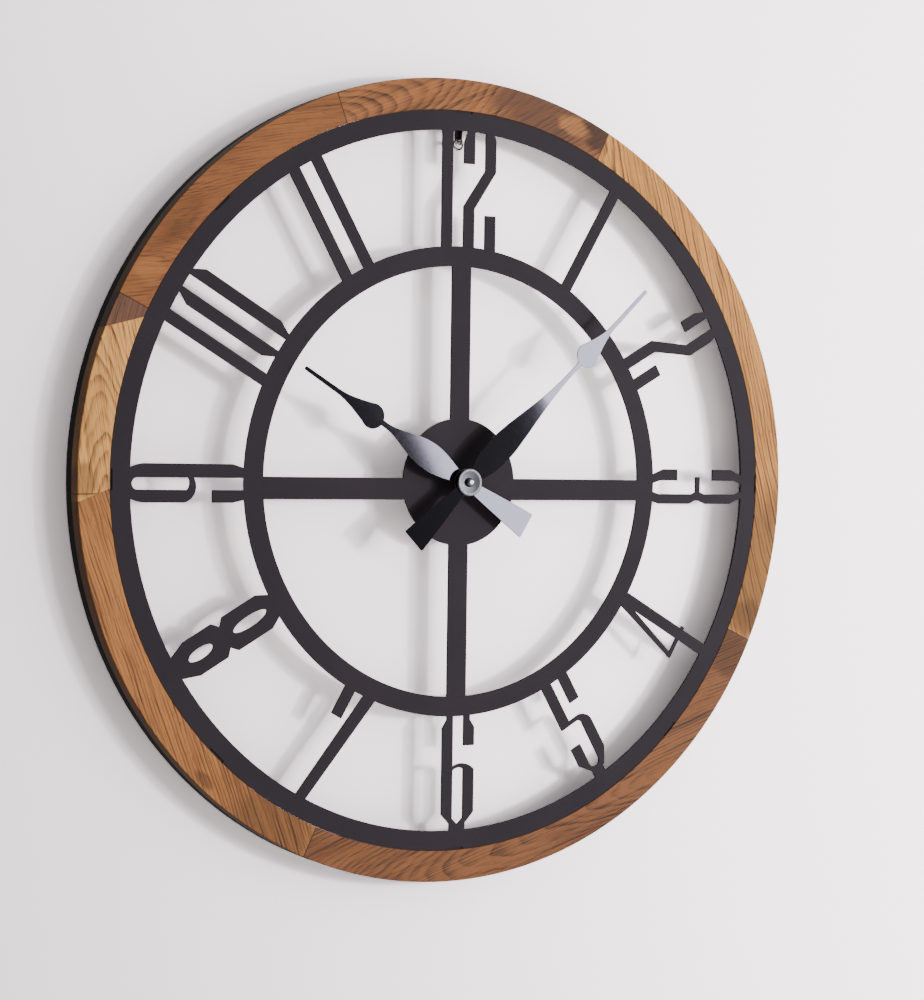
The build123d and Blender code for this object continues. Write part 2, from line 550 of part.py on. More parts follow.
with BuildPart() as dial_gasket:
    with BuildSketch(face(CASE_FRONT)):
        rounded_square(CASE_SIZE - 2, CASE_CORNER)
        Circle(BUSH_RADIUS + BUSH_HOLE_CLEARANCE, mode=Mode.SUBTRACT)
    extrude(amount=GASKET_THICKNESS)
save(dial_gasket, "dial_gasket")

with BuildPart() as lock_washer:
    with BuildSketch(face(DIAL_FRONT)):
        Circle(LOCK_WASHER[0])
        Circle(BUSH_RADIUS + BUSH_HOLE_CLEARANCE, mode=Mode.SUBTRACT)
    extrude(amount=LOCK_WASHER[1])
save(lock_washer, "lock_washer")

with BuildPart() as hex_nut:
    with BuildSketch(face(DIAL_FRONT + LOCK_WASHER[1])):
        RegularPolygon(HEX_NUT[0], 6, major_radius=False)
        Circle(BUSH_RADIUS + RUNNING_CLEARANCE, mode=Mode.SUBTRACT)
    extrude(amount=HEX_NUT[1])
save(hex_nut, "hex_nut")

# ---- Battery and its contacts
CONTACT_THICKNESS = 0.4
CONTACT_SIZE = 9.0
NUB_LENGTH = 1.2


def along_x(x, height, up):
    """A plane square to +X through a place in the case."""
    return Plane(origin=(x, -height, up - NAIL_HEIGHT), x_dir=(0, 1, 0), z_dir=(1, 0, 0))


with BuildPart() as battery:
    with BuildSketch(along_x(-BATTERY_LENGTH / 2, BATTERY_LEVEL, BAY_MIDDLE)):
        Circle(BATTERY_RADIUS)
    extrude(amount=BATTERY_LENGTH - NUB_LENGTH)
    fillet(battery.edges().filter_by(GeomType.CIRCLE), 0.5)
    with BuildSketch(along_x(BATTERY_LENGTH / 2 - NUB_LENGTH, BATTERY_LEVEL, BAY_MIDDLE)):
        Circle(2.75)
    extrude(amount=NUB_LENGTH)
save(battery, "battery")

for side, name in ((1, "contact_positive"), (-1, "contact_negative")):
    wall = side * (BAY_LENGTH / 2) - (CONTACT_THICKNESS if side > 0 else 0)
    with BuildPart() as contact:
        with BuildSketch(along_x(wall, BATTERY_LEVEL, BAY_MIDDLE)):
            Rectangle(CONTACT_SIZE, CONTACT_SIZE)
        extrude(amount=CONTACT_THICKNESS)
    save(contact, name)

# ---- Motor: rotor, stator, core and coil
CORE_WIDTH = 3.0
CORE_LEFT, CORE_RIGHT = -21.0, ROTOR[0] - MAGNET_RADIUS - 1.0
BOBBIN_LEFT, BOBBIN_LENGTH, BOBBIN_SIZE = -16.0, 19.0, 5.8
WINDING_RADIUS = 2.6
STATOR_LOW = ROTOR[1] - 4.8
STATOR_HIGH = ROTOR[1] + 4.4

with BuildPart() as stator_plate:
    with BuildSketch(face(STATOR_LEVEL[0])):
        Polygon((CORE_LEFT, STATOR_LOW - 1.4), (ROTOR[0] - 5, STATOR_LOW - 1.4), (ROTOR[0] - 5, STATOR_LOW),
                (ROTOR[0] + 5, STATOR_LOW), (ROTOR[0] + 5, STATOR_HIGH), (CORE_RIGHT - 3.4, STATOR_HIGH),
                (CORE_RIGHT - 3.4, STATOR_LOW + 0.4), (CORE_LEFT + 4, STATOR_LOW + 0.4),
                (CORE_LEFT + 4, STATOR_HIGH), (CORE_LEFT, STATOR_HIGH), align=None)
        with Locations(ROTOR):
            Circle(MAGNET_RADIUS + 0.4, mode=Mode.SUBTRACT)
    extrude(amount=STATOR_LEVEL[1] - STATOR_LEVEL[0])
save(stator_plate, "stator_plate")

CORE_MIDDLE = ((CORE_LEFT + CORE_RIGHT) / 2, ROTOR[1])
with BuildPart() as coil_core:
    with BuildSketch(face(CORE_LEVEL[0])):
        with Locations(CORE_MIDDLE):
            Rectangle(CORE_RIGHT - CORE_LEFT, CORE_WIDTH)
    extrude(amount=CORE_LEVEL[1] - CORE_LEVEL[0])
save(coil_core, "coil_core")

CORE_CENTRE_LEVEL = (CORE_LEVEL[0] + CORE_LEVEL[1]) / 2
FLANGE = 1.0
with BuildPart() as coil_bobbin:
    for x in (BOBBIN_LEFT, BOBBIN_LEFT + BOBBIN_LENGTH - FLANGE):
        with BuildSketch(along_x(x, CORE_CENTRE_LEVEL, ROTOR[1])):
            Rectangle(BOBBIN_SIZE, BOBBIN_SIZE)
        extrude(amount=FLANGE)
    with BuildSketch(along_x(BOBBIN_LEFT, CORE_CENTRE_LEVEL, ROTOR[1])):
        Circle(WINDING_RADIUS - 0.6)
    extrude(amount=BOBBIN_LENGTH)
    with BuildSketch(along_x(BOBBIN_LEFT, CORE_CENTRE_LEVEL, ROTOR[1])):
        Rectangle(CORE_LEVEL[1] - CORE_LEVEL[0] + FIT_GAP, CORE_WIDTH + FIT_GAP)
    extrude(amount=BOBBIN_LENGTH, mode=Mode.SUBTRACT)
save(coil_bobbin, "coil_bobbin")

with BuildPart() as coil_winding:
    with BuildSketch(along_x(BOBBIN_LEFT + FLANGE, CORE_CENTRE_LEVEL, ROTOR[1])):
        Circle(WINDING_RADIUS)
        Circle(WINDING_RADIUS - 0.55, mode=Mode.SUBTRACT)
    extrude(amount=BOBBIN_LENGTH - 2 * FLANGE)
save(coil_winding, "coil_winding")

BOARD_LEVEL = CASE_CEILING - 2.6
BOARD_THICKNESS = 1.0
with BuildPart() as circuit_board:
    with BuildSketch(face(BOARD_LEVEL)):
        with Locations((-11.5, 20.5)):
            Rectangle(27, 10.5)
    extrude(amount=BOARD_THICKNESS)
    with BuildSketch(face(BOARD_LEVEL)):
        with Locations((-6, 20)):
            Circle(2.5)
    extrude(amount=-0.9, taper=30)
save(circuit_board, "circuit_board")

with BuildPart() as quartz_crystal:
    with BuildSketch(along_x(-23, BOARD_LEVEL - 1.0, 20)):
        Circle(1.0)
    extrude(amount=6)
save(quartz_crystal, "quartz_crystal")

# ---- Wheels
TIP_SHARE, ROOT_SHARE = 0.10, 0.25   # half a tooth's width at tip and root, as shares of the pitch
ADDENDUM, DEDENDUM = 0.85, 1.15      # in modules


def gear(centre, module, teeth, tooth_at):
    """Adds a toothed disc to the open sketch, one tooth pointing at the angle `tooth_at`."""
    tip, root = module * (teeth / 2 + ADDENDUM), module * (teeth / 2 - DEDENDUM)
    pitch = 360 / teeth
    corners = []
    for tooth in range(teeth):
        middle = tooth_at + tooth * pitch
        for radius, share in ((root, -ROOT_SHARE), (tip, -TIP_SHARE), (tip, TIP_SHARE), (root, ROOT_SHARE)):
            corners.append(polar(centre, middle + share * pitch, radius))
    Polygon(*corners, align=None)


def gear_disc(level, centre, module, teeth, tooth_at):
    with BuildSketch(face(level[0])) as disc:
        gear(centre, module, teeth, tooth_at)
    extrude(disc.sketch, amount=level[1] - level[0])


def round_bar(start, end, centre, radius, mode=Mode.ADD):
    with BuildSketch(face(start)) as section:
        with Locations(centre):
            Circle(radius)
    extrude(section.sketch, amount=end - start, mode=mode)


def gap_facing(angle, teeth):
    """The tooth angle that puts a gap at `angle`, so that the mating tooth enters it."""
    return angle + 180 / teeth


MINUTE_TOOTH = gap_facing(MINUTE_WHEEL_AT + 180, MINUTE_WHEEL_TEETH)

with BuildPart() as hour_wheel:
    gear_disc(HOUR_LEVEL, CENTRE, MOTION_MODULE, HOUR_WHEEL_TEETH, gap_facing(MINUTE_WHEEL_AT, HOUR_WHEEL_TEETH))
    round_bar(HOUR_LEVEL[0], HOUR_HAND_BACK + HAND_SHEET + BOSS_THICKNESS, CENTRE, HOUR_PIPE_RADIUS)
    round_bar(HOUR_LEVEL[0], HOUR_HAND_BACK + HAND_SHEET + BOSS_THICKNESS, CENTRE,
              MINUTE_SHAFT_RADIUS + RUNNING_CLEARANCE, Mode.SUBTRACT)
save(hour_wheel, "hour_wheel")

with BuildPart() as centre_wheel:
    round_bar(PIVOT_BACK, CENTRE_LEVEL[0], CENTRE, ARBOR_RADIUS)
    gear_disc(CENTRE_LEVEL, CENTRE, CENTRE_MODULE, CENTRE_TEETH, THIRD_AT)
    round_bar(CENTRE_LEVEL[1], CANNON_LEVEL[1], CENTRE, CLUTCH_RADIUS)
save(centre_wheel, "centre_wheel")

MINUTE_TOP = MINUTE_HAND_BACK + HAND_SHEET + BOSS_THICKNESS
with BuildPart() as minute_arbor:
    round_bar(CENTRE_LEVEL[1] + FIT_GAP, MINUTE_TOP, CENTRE, MINUTE_SHAFT_RADIUS)
    gear_disc(CANNON_LEVEL, CENTRE, MOTION_MODULE, CANNON_TEETH, MINUTE_WHEEL_AT)
    round_bar(CENTRE_LEVEL[1], CANNON_LEVEL[1] + FIT_GAP, CENTRE, CLUTCH_RADIUS + RUNNING_CLEARANCE, Mode.SUBTRACT)
save(minute_arbor, "minute_arbor")

with BuildPart() as minute_wheel:
    round_bar(PIVOT_BACK, PIVOT_FRONT, MINUTE_WHEEL, ARBOR_RADIUS)
    gear_disc(MINUTE_LEVEL, MINUTE_WHEEL, MOTION_MODULE, MINUTE_WHEEL_TEETH, MINUTE_TOOTH)
    round_bar(MINUTE_LEVEL[1], MINUTE_PINION_LEVEL[0], MINUTE_WHEEL, 1.0)
    gear_disc(MINUTE_PINION_LEVEL, MINUTE_WHEEL, MOTION_MODULE, MINUTE_PINION_TEETH, MINUTE_WHEEL_AT + 180)
save(minute_wheel, "minute_wheel")

with BuildPart() as third_wheel:
    round_bar(PIVOT_BACK, PIVOT_FRONT, THIRD, ARBOR_RADIUS)
    gear_disc(THIRD_LEVEL, THIRD, THIRD_MODULE, THIRD_TEETH, FOURTH_AT)
    gear_disc(THIRD_PINION_LEVEL, THIRD, CENTRE_MODULE, THIRD_PINION_TEETH,
              gap_facing(THIRD_AT + 180, THIRD_PINION_TEETH))
save(third_wheel, "third_wheel")

with BuildPart() as fourth_wheel:
    round_bar(PIVOT_BACK, PIVOT_FRONT, FOURTH, ARBOR_RADIUS)
    gear_disc(FOURTH_LEVEL, FOURTH, FOURTH_MODULE, FOURTH_TEETH, FIFTH_AT)
    gear_disc(FOURTH_PINION_LEVEL, FOURTH, THIRD_MODULE, FOURTH_PINION_TEETH,
              gap_facing(FOURTH_AT + 180, FOURTH_PINION_TEETH))
save(fourth_wheel, "fourth_wheel")

with BuildPart() as fifth_wheel:
    round_bar(PIVOT_BACK, PIVOT_FRONT, FIFTH, ARBOR_RADIUS)
    gear_disc(FIFTH_LEVEL, FIFTH, FIFTH_MODULE, FIFTH_TEETH, ROTOR_AT)
    gear_disc(FIFTH_PINION_LEVEL, FIFTH, FOURTH_MODULE, FIFTH_PINION_TEETH,
              gap_facing(FIFTH_AT + 180, FIFTH_PINION_TEETH))
save(fifth_wheel, "fifth_wheel")

with BuildPart() as rotor:
    round_bar(PIVOT_BACK, PIVOT_FRONT, ROTOR, ARBOR_RADIUS)
    round_bar(*MAGNET_LEVEL, ROTOR, MAGNET_RADIUS)
    gear_disc(ROTOR_PINION_LEVEL, ROTOR, FIFTH_MODULE, ROTOR_PINION_TEETH,
              gap_facing(ROTOR_AT + 180, ROTOR_PINION_TEETH))
save(rotor, "rotor")

KNOB_RADIUS, KNOB_THICKNESS, KNOB_RIBS = 5.0, 3.0, 12
with BuildPart() as setting_knob:
    round_bar(CASE_BACK - 0.5, CANNON_LEVEL[0], KNOB, KNOB_SHAFT_RADIUS)
    round_bar(CANNON_LEVEL[1], PIVOT_FRONT, KNOB, ARBOR_RADIUS)
    gear_disc(CANNON_LEVEL, KNOB, MOTION_MODULE, CANNON_TEETH, gap_facing(KNOB_AT + 180, CANNON_TEETH))
    with BuildSketch(face(CASE_BACK - 0.5)):
        with Locations(KNOB):
            Circle(KNOB_RADIUS)
            with PolarLocations(KNOB_RADIUS + 0.4, KNOB_RIBS):
                Circle(1.0, mode=Mode.SUBTRACT)
    extrude(amount=-KNOB_THICKNESS)
save(setting_knob, "setting_knob")

# =================================== Hands ========================================================
ROOT_HALF_WIDTH = 6.0
NECK_HALF_WIDTH = 2.2
NEEDLE_ROOT = 2.4            # half widths of the needle
NEEDLE_TIP = 1.8


def hand(turn, back, length, widest, neck, bulb, drop_end, bore):
    """Adds a spade hand to the open part: leaf blade, neck, bulb, needle and flared tail."""
    with BuildSketch(face(back, turn)) as blank:
        closed_face((4.2, -8), [(-4.2, -8), (-TAIL_HALF_WIDTH, -TAIL_LENGTH)],
                    ((0, -TAIL_LENGTH - 1.5), (TAIL_HALF_WIDTH, -TAIL_LENGTH)))
        Circle(BOSS_RADIUS - 2)
        mirrored_leaf((ROOT_HALF_WIDTH, 6), (BLADE_HALF_WIDTH, widest), (NECK_HALF_WIDTH, neck))
        with Locations((0, (neck + bulb) / 2)):
            Rectangle(2 * NECK_HALF_WIDTH, bulb - neck)
        with Locations((0, bulb)):
            Circle(BULB_RADIUS)
        mirrored_leaf((BULB_RADIUS, bulb), (BULB_RADIUS / 2, bulb + 0.55 * (drop_end - bulb)),
                      (NEEDLE_ROOT, drop_end))
        Polygon((-NEEDLE_ROOT, drop_end), (NEEDLE_ROOT, drop_end), (NEEDLE_TIP, length - NEEDLE_TIP),
                (-NEEDLE_TIP, length - NEEDLE_TIP), align=None)
        with Locations((0, length - NEEDLE_TIP)):
            Circle(NEEDLE_TIP)
        Circle(bore, mode=Mode.SUBTRACT)
    extrude(blank.sketch, amount=HAND_SHEET)


def mirrored_leaf(start, middle, end):
    """Adds a leaf bounded by a curve through three points and its mirror image."""
    with BuildLine() as outline:
        Spline(start, middle, end)
        Line(end, (-end[0], end[1]))
        Spline((-end[0], end[1]), (-middle[0], middle[1]), (-start[0], start[1]))
        Line((-start[0], start[1]), start)
    make_face(outline.edges())


with BuildPart() as hour_hand:
    hand(HOUR_HAND_ANGLE, HOUR_HAND_BACK, HOUR_HAND_LENGTH, 42, 90, 107, 146, HOUR_PIPE_RADIUS)
save(hour_hand, "hour_hand")

with BuildPart() as minute_hand:
    hand(MINUTE_HAND_ANGLE, MINUTE_HAND_BACK, MINUTE_HAND_LENGTH, 42, 149, 164, 200, MINUTE_SHAFT_RADIUS)
save(minute_hand, "minute_hand")

DISH_RADIUS, DISH_DEPTH = 4.6, 1.2
for name, back, bore in (("hour_boss", HOUR_HAND_BACK + HAND_SHEET, HOUR_PIPE_RADIUS),
                         ("minute_boss", MINUTE_HAND_BACK + HAND_SHEET, MINUTE_SHAFT_RADIUS)):
    with BuildPart() as boss:
        with BuildSketch(face(back)):
            Circle(BOSS_RADIUS)
        extrude(amount=BOSS_THICKNESS)
        fillet(boss.faces().sort_by(Axis.Y)[0].edges(), 0.8)
        with BuildSketch(face(back + BOSS_THICKNESS)):
            Circle(DISH_RADIUS)
        extrude(amount=-DISH_DEPTH, mode=Mode.SUBTRACT)
        with BuildSketch(face(back)):
            Circle(bore)
        extrude(amount=BOSS_THICKNESS, mode=Mode.SUBTRACT)
    save(boss, name)

CAP_NUT_BACK = MINUTE_HAND_BACK + HAND_SHEET + BOSS_THICKNESS - DISH_DEPTH
with BuildPart() as cap_nut:
    with BuildSketch(face(CAP_NUT_BACK)):
        Circle(CAP_NUT_RADIUS)
        Circle(MINUTE_SHAFT_RADIUS, mode=Mode.SUBTRACT)
    extrude(amount=DISH_DEPTH)
    with BuildSketch(face(MINUTE_TOP)):
        Circle(CAP_NUT_RADIUS)
    extrude(amount=2.4)
    fillet(cap_nut.faces().sort_by(Axis.Y)[0].edges(), 2.2)
save(cap_nut, "cap_nut")
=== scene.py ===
import math

import bpy
from bpy.types import NodeSocket
from mathutils import Matrix, Vector


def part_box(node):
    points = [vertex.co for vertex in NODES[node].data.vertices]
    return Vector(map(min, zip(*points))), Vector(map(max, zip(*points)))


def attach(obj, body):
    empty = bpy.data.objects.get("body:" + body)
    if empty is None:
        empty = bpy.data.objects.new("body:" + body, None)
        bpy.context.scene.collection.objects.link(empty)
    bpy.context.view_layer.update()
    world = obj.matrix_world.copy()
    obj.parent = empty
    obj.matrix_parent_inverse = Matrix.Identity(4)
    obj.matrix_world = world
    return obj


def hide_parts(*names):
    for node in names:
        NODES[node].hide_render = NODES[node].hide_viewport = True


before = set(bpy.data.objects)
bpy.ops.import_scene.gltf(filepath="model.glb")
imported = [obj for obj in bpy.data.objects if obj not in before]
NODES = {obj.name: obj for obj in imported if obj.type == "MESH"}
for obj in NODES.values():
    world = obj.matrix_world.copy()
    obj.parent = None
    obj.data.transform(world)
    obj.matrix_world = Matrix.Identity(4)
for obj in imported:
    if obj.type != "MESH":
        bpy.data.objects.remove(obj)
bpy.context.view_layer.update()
MM = 0.001

# The clock hangs on the plane y = 0, faces -Y and has +Z up. HUB is the middle of the dial.
RING_LOW, RING_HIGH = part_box("dial_inner_ring")
HUB = (RING_LOW + RING_HIGH) / 2
DIAL_FRONT = RING_LOW.y


def clockwise(angle):
    """The unit vectors (outwards, clockwise along the rim) at a clock angle in degrees."""
    a = math.radians(angle)
    return Vector((math.sin(a), 0, math.cos(a))), Vector((math.cos(a), 0, -math.sin(a)))


# ---------------------------------------------------------------- shader helper
class Shader:
    """A material with a few short ways of adding nodes to it."""

    def __init__(self, name):
        self.material = bpy.data.materials.new(name)
        self.material.use_nodes = True
        self.tree = self.material.node_tree
        self.surface = self.tree.nodes["Principled BSDF"]
        self.place = self.node("ShaderNodeTexCoord", "Object")

    def put(self, socket, value):
        if isinstance(value, NodeSocket):
            self.tree.links.new(value, socket)
        elif value is not None:
            socket.default_value = value

    def node(self, kind, out=0, inputs=(), **props):
        n = self.tree.nodes.new(kind)
        for key, value in props.items():
            setattr(n, key, value)
        pairs = inputs.items() if isinstance(inputs, dict) else enumerate(inputs)
        for key, value in pairs:
            self.put(n.inputs[key], value)
        return n.outputs[out]

    def math(self, operation, *values, clamp=False):
        return self.node("ShaderNodeMath", 0, values, operation=operation, use_clamp=clamp)

    def dot(self, a, b):
        return self.node("ShaderNodeVectorMath", "Value", (a, b), operation="DOT_PRODUCT")

    def length(self, a, b):
        return self.math("SQRT", self.math("ADD", self.math("MULTIPLY", a, a), self.math("MULTIPLY", b, b)))

    def vector(self, x, y, z):
        return self.node("ShaderNodeCombineXYZ", 0, (x, y, z))

    def noise(self, where, scale, detail=2.0, rough=0.5):
        inputs = {"Vector": where, "Scale": scale, "Detail": detail, "Roughness": rough}
        return self.node("ShaderNodeTexNoise", "Fac", inputs)

    def range(self, value, low, high, to_low=0.0, to_high=1.0):
        """`value` eased from low..high to to_low..to_high."""
        inputs = (value, low, high, to_low, to_high)
        return self.node("ShaderNodeMapRange", 0, inputs, interpolation_type="SMOOTHSTEP")

    def mix(self, factor, a, b):
        n = self.tree.nodes.new("ShaderNodeMix")
        n.data_type = "RGBA"
        self.put(n.inputs[0], factor)
        self.put(n.inputs[6], a)
        self.put(n.inputs[7], b)
        return n.outputs[2]

    def ramp(self, factor, stops):
        n = self.tree.nodes.new("ShaderNodeValToRGB")
        elements = n.color_ramp.elements
        while len(elements) < len(stops):
            elements.new(0.5)
        for element, (position, colour) in zip(elements, stops):
            element.position, element.color = position, colour
        self.put(n.inputs[0], factor)
        return n.outputs[0]

    def set(self, **values):
        for key, value in values.items():
            self.put(self.surface.inputs[key.replace("_", " ")], value)
        return self

    def bump(self, height, distance, strength=1.0):
        inputs = {"Strength": strength, "Distance": distance, "Height": height}
        return self.set(Normal=self.node("ShaderNodeBump", 0, inputs))


def linear(c):
    return c / 12.92 if c <= 0.04045 else ((c + 0.055) / 1.055) ** 2.4


def rgb(r, g, b):
    """An sRGB colour of 0-255 as linear RGBA."""
    return (linear(r / 255), linear(g / 255), linear(b / 255), 1.0)


def shade(colour, factor):
    """The colour made lighter or darker, up to 1."""
    return tuple(min(1, c * factor) for c in colour[:3]) + (1.0,)


# ---------------------------------------------------------------- wood
RIM_MIDDLE = 335 * MM  # radius about which the boards' grain is laid out
GLUE_LINE = rgb(40, 24, 16)
# One year ring, slowly darker and quickly light again: (share of its width, how dark).
YEAR_RING = [(0.0, 0.25), (0.1, 0.0), (0.4, 0.1), (0.8, 0.85), (0.92, 1.0), (1.0, 0.25)]


def wood(name, grain, light, dark, seed, spacing, contrast, pith, ends, stains=()):
    """Oiled softwood. `grain` is the clock angle at which the straight grain runs along the rim.

    `spacing` is the year rings' width in mm. `pith` is where the log's centre lies: how far across the
    grain and behind the face in mm, and how fast it runs away along the grain. `ends` are the clock
    angles of glue lines; `stains` are (angle, radius, half length, half width, colour, strength).
    """
    s = Shader(name)
    out, along = clockwise(grain)
    p = s.node("ShaderNodeVectorMath", 0, (s.place, tuple(-HUB)), operation="ADD")
    u, v, w = s.dot(p, tuple(along)), s.dot(p, tuple(out)), s.dot(p, (0, 1, 0))
    v = s.math("SUBTRACT", v, RIM_MIDDLE)

    def stretched(lengthwise, across, detail=3.0, rough=0.5):
        """Noise drawn out along the grain; the first two are its scales along and across it."""
        where = s.vector(s.math("MULTIPLY_ADD", u, lengthwise, seed),
                         s.math("MULTIPLY", v, across), s.math("MULTIPLY", w, across))
        return s.noise(where, 1.0, detail, rough)

    # Year rings: shells about the pith, a little wavy, each with its own strength.
    wander = s.math("MULTIPLY_ADD", stretched(8.0, 17.0, 4.0, 0.45), 0.018, -0.009)
    depth = s.math("ADD", s.math("MULTIPLY_ADD", u, pith[2], pith[1] * MM), w)
    far = s.length(s.math("ADD", v, pith[0] * MM), depth)
    turns = s.math("DIVIDE", s.math("ADD", far, wander), spacing * MM)
    late = s.ramp(s.math("FRACT", turns), [(at, (tone, tone, tone, 1)) for at, tone in YEAR_RING])
    year = s.noise(s.vector(seed, 0.0, s.math("FLOOR", turns)), 1.37, 0.0)
    late = s.math("MULTIPLY", late, s.range(year, 0.3, 0.7, 0.35, 1.0))
    # Finer figure: fibres, streaks, pores and broad clouds.
    fibre = s.range(stretched(13.0, 800.0, 4.0, 0.7), 0.3, 0.72, -0.42, 0.5)
    streak = s.range(stretched(7.0, 160.0, 3.0), 0.34, 0.68, -0.22, 0.22)
    pores = s.range(stretched(120.0, 2300.0, 1.0), 0.6, 0.7, 0.0, 0.45)
    cloud = stretched(10.0, 30.0)
    factor = s.math("ADD", s.math("MULTIPLY", late, contrast), s.math("ADD", fibre, streak), clamp=True)
    colour = s.mix(factor, light, dark)
    colour = s.mix(s.range(cloud, 0.45, 0.75, 0.0, 0.4), colour, dark)
    colour = s.mix(pores, colour, shade(dark, 0.4))
    for angle, radius, length, width, tone, strength in stains:
        out_at, along_at = clockwise(angle)
        a = s.math("DIVIDE", s.dot(p, tuple(along_at)), length * MM)
        b = s.math("DIVIDE", s.math("SUBTRACT", s.dot(p, tuple(out_at)), radius * MM), width * MM)
        reach = s.math("ADD", s.length(a, b), s.math("MULTIPLY_ADD", cloud, 1.6, -0.8))
        reach = s.math("ADD", reach, s.math("MULTIPLY", streak, 0.6))
        colour = s.mix(s.range(reach, 0.6, 1.15, strength, 0.0), colour, s.mix(factor, tone, shade(tone, 0.5)))
    for angle in ends:
        across_joint = s.dot(p, tuple(clockwise(angle)[1]))
        gap = s.math("ABSOLUTE", s.math("ADD", across_joint, s.math("MULTIPLY_ADD", cloud, 0.0008, -0.0004)))
        colour = s.mix(s.range(gap, 0.2 * MM, 0.8 * MM, 0.8, 0.0), colour, GLUE_LINE)
    # Painted shade: the turned edges are darkened towards deep brown, most of all on the left, the side away
    # from the lamps.
    normal = s.node("ShaderNodeNewGeometry", "Normal")
    flat = s.math("ABSOLUTE", s.dot(normal, (0, 1, 0)))
    # Painted shade mask: stronger where the edge faces left, away from the lamps on the right.
    left_shade = s.range(s.dot(normal, (1, 0, 0)), -0.2, 0.4, 0.8, 0.3)
    colour = s.mix(s.math("MULTIPLY", s.range(flat, 0.45, 0.97, 1.0, 0.0), left_shade), colour, shade(dark, 0.25))
    s.set(Base_Color=colour, Roughness=s.math("MULTIPLY_ADD", factor, -0.1, 0.62), IOR=1.3)
    s.bump(s.math("ADD", s.math("MULTIPLY", late, 0.5), s.math("MULTIPLY", fibre, 0.8)), 0.00014, 0.7)
    return s.material


HONEY, HONEY_DARK = rgb(242, 168, 86), rgb(108, 58, 24)
TAN, TAN_DARK = rgb(196, 128, 70), rgb(70, 39, 18)
BROWN, BROWN_DARK = rgb(150, 95, 57), rgb(50, 29, 16)
RUST, RUST_DARK = rgb(162, 101, 55), rgb(74, 42, 22)

RIM = {
    "rim_segment_1": wood(
        "oiled_pine_golden", 74, HONEY, HONEY_DARK, 3.1, 3.2, 0.95, (120, 40, 0.05), (25.5, 114.9),
        [(102, 336, 80, 40, TAN_DARK, 0.55), (112, 336, 20, 24, BROWN_DARK, 0.5)]),
    "rim_segment_2": wood(
        "oiled_pine_reddish", 162, BROWN, BROWN_DARK, 8.7, 3.0, 0.75, (12, 24, 0.12), (114.9, 204.8),
        [(118, 336, 24, 30, BROWN_DARK, 0.5)]),
    "rim_segment_3": wood(
        "oiled_pine_tawny", 250, TAN, TAN_DARK, 14.2, 3.0, 0.7, (130, 40, 0.08), (204.8,),
        [(212, 336, 50, 30, BROWN_DARK, 0.5), (224, 343, 14, 6, BROWN_DARK, 0.5)]),
    "rim_segment_4": wood(
        "oiled_pine_pale", 262, rgb(255, 184, 102), HONEY_DARK, 21.5, 2.4, 0.85, (14, 12, 0.14), (268.0,),
        [(270, 341, 14, 9, BROWN_DARK, 0.5)]),
    "rim_segment_5": wood(
        "oiled_pine_wedge", 285, rgb(124, 84, 62), rgb(68, 42, 32), 27.9, 2.4, 0.5, (160, 60, 0.0), (295.4,)),
    "rim_segment_6": wood(
        "oiled_pine_rusty", 349, RUST, RUST_DARK, 33.3, 2.6, 0.55, (84, 22, 0.2), (295.4, 339.4),
        [(309, 338, 34, 14, BROWN_DARK, 0.28), (300, 334, 12, 14, TAN, 0.4)]),
    "rim_segment_7": wood(
        "oiled_pine_brown", 336, rgb(178, 113, 64), BROWN_DARK, 40.8, 3.6, 0.8, (9, 12, 0.25), (339.4, 25.5),
        [(14, 336, 56, 34, rgb(104, 68, 50), 0.85), (24, 343, 20, 14, rgb(56, 36, 28), 0.8),
         (19.5, 338, 18, 9, TAN, 0.8)]),
}


# ---------------------------------------------------------------- other finishes
def painted(name, colour, rough, grain=900.0, depth=0.00006, ior=1.5, mottle=1.14):
    """Paint, powder coat or moulded plastic: a fine even texture and slightly uneven gloss."""
    s = Shader(name)
    fine = s.noise(s.place, grain, 3.0, 0.6)
    broad = s.noise(s.place, 14.0, 2.0)
    tone = s.mix(s.range(broad, 0.35, 0.65), colour, shade(colour, mottle))
    s.set(Base_Color=tone, Roughness=s.range(fine, 0.3, 0.7, rough * 0.9, rough * 1.1), IOR=ior)
    return (s.bump(fine, depth) if depth else s).material


def metal(name, colour, rough, depth=0.00002):
    """Bare or plated metal with a fine uneven sheen."""
    s = Shader(name)
    fine = s.noise(s.place, 900.0)
    s.set(Base_Color=s.mix(s.range(fine, 0.3, 0.7), colour, shade(colour, 0.85)), Metallic=1.0,
          Roughness=s.range(fine, 0.3, 0.7, rough * 0.85, rough * 1.15))
    return s.bump(fine, depth, 0.5).material


COPPER_FROM, SLEEVE_HALF = 10 * MM, 23.4 * MM
VENEER, WIRE = 1.5 * MM, 0.25 * MM


def battery_jacket():
    """A plain two-tone sleeve with bare ends; the cell lies along x, centred on the hub."""
    s = Shader("battery_sleeve")
    x = s.dot(s.place, (1, 0, 0))
    fine = s.noise(s.place, 600.0)
    copper = s.math("GREATER_THAN", x, COPPER_FROM)
    ends = s.math("GREATER_THAN", s.math("ABSOLUTE", x), SLEEVE_HALF)
    colour = s.mix(copper, rgb(28, 30, 34), rgb(178, 112, 62))
    colour = s.mix(ends, colour, rgb(190, 188, 182))
    s.set(Base_Color=colour, Metallic=s.math("MAXIMUM", copper, ends),
          Roughness=s.range(fine, 0.3, 0.7, 0.26, 0.36))
    return s.bump(fine, 0.00002).material


def plywood_black():
    """Black-painted board; the veneer lines show faintly through the paint on its edge."""
    s = Shader("black_board")
    layer = s.math("FRACT", s.math("MULTIPLY", s.dot(s.place, (0, 1, 0)), 1 / VENEER))
    fine = s.noise(s.place, 500.0, 4.0, 0.65)
    colour = s.mix(s.range(fine, 0.35, 0.7), rgb(9, 7, 7), rgb(20, 16, 15))
    s.set(Base_Color=colour, Roughness=0.8, IOR=1.3)
    height = s.math("ADD", s.math("MULTIPLY", s.range(layer, 0.0, 0.25), 0.3), fine)
    return s.bump(height, 0.00012).material


